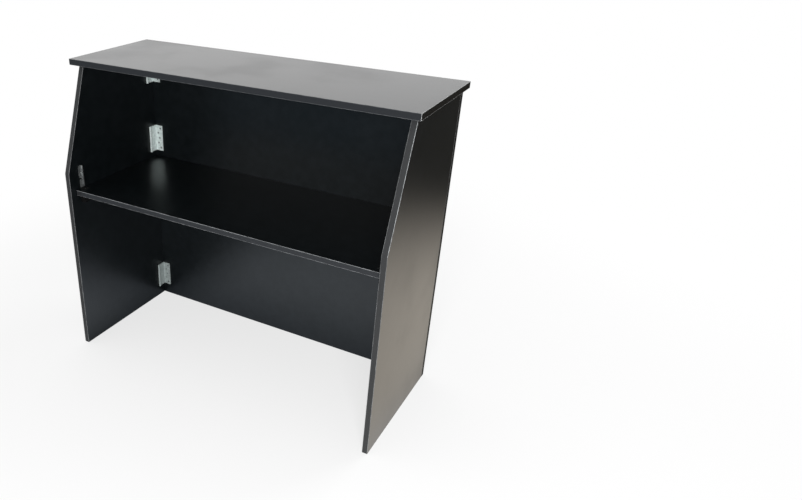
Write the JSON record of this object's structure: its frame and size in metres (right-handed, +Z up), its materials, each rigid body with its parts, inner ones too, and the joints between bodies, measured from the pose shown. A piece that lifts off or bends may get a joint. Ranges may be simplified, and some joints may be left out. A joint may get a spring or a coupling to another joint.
{
  "type": "mobile bar counter",
  "caption": "Knock-down bar counter with a front panel, hinged tapered side panels, an overhanging lift-off top, a loose bolted shelf and an open rear bay.",
  "frame": {"origin": "on the floor, at the middle of the counter's width and overall depth", "axes": "+X to the bartender's right along the counter, +Y towards the guests, +Z up"},
  "size_m": [1.22, 0.499, 1.06],
  "materials": {
    "black_laminate": "satin black laminate on board, with matching edge band",
    "black_timber": "matt black paint on timber strip",
    "zinc_plate": "bright zinc plate on steel"
  },
  "bodies": {
    "carcass": {"front_panel": "black_laminate", "left_side_panel": "black_laminate", "right_side_panel": "black_laminate", "left_shelf_cleat": "black_timber", "right_shelf_cleat": "black_timber", "front_shelf_cleat": "black_timber", "left_top_hinge_front_leaf": "zinc_plate", "left_top_hinge_side_leaf": "zinc_plate", "left_top_hinge_pin": "zinc_plate", "left_middle_hinge_front_leaf": "zinc_plate", "left_middle_hinge_side_leaf": "zinc_plate", "left_middle_hinge_pin": "zinc_plate", "left_bottom_hinge_front_leaf": "zinc_plate", "left_bottom_hinge_side_leaf": "zinc_plate", "left_bottom_hinge_pin": "zinc_plate", "left_bolt_body": "zinc_plate", "right_top_hinge_front_leaf": "zinc_plate", "right_top_hinge_side_leaf": "zinc_plate", "right_top_hinge_pin": "zinc_plate", "right_middle_hinge_front_leaf": "zinc_plate", "right_middle_hinge_side_leaf": "zinc_plate", "right_middle_hinge_pin": "zinc_plate", "right_bottom_hinge_front_leaf": "zinc_plate", "right_bottom_hinge_side_leaf": "zinc_plate", "right_bottom_hinge_pin": "zinc_plate", "right_bolt_body": "zinc_plate"},
    "lift_off_top": {"counter_top": "black_laminate", "left_top_batten": "black_timber", "right_top_batten": "black_timber", "front_top_batten": "black_timber"},
    "loose_shelf": {"shelf": "black_laminate", "left_bolt_keeper": "zinc_plate", "right_bolt_keeper": "zinc_plate"},
    "left_rod": {"left_bolt_rod": "zinc_plate"},
    "right_rod": {"right_bolt_rod": "zinc_plate"}
  },
  "joints": [
    {"name": "top_lift", "type": "slide", "parent": "carcass", "child": "lift_off_top", "axis": [0, 0, 1], "range_m": [0, 0.06]},
    {"name": "shelf_pull", "type": "slide", "parent": "carcass", "child": "loose_shelf", "axis": [0, -1, 0], "range_m": [0, 0.48]},
    {"name": "left_bolt_throw", "type": "slide", "parent": "carcass", "child": "left_rod", "axis": [0, 0, -1], "range_m": [0, 0.012]},
    {"name": "right_bolt_throw", "type": "slide", "parent": "carcass", "child": "right_rod", "axis": [0, 0, -1], "range_m": [0, 0.012]}
  ]
}
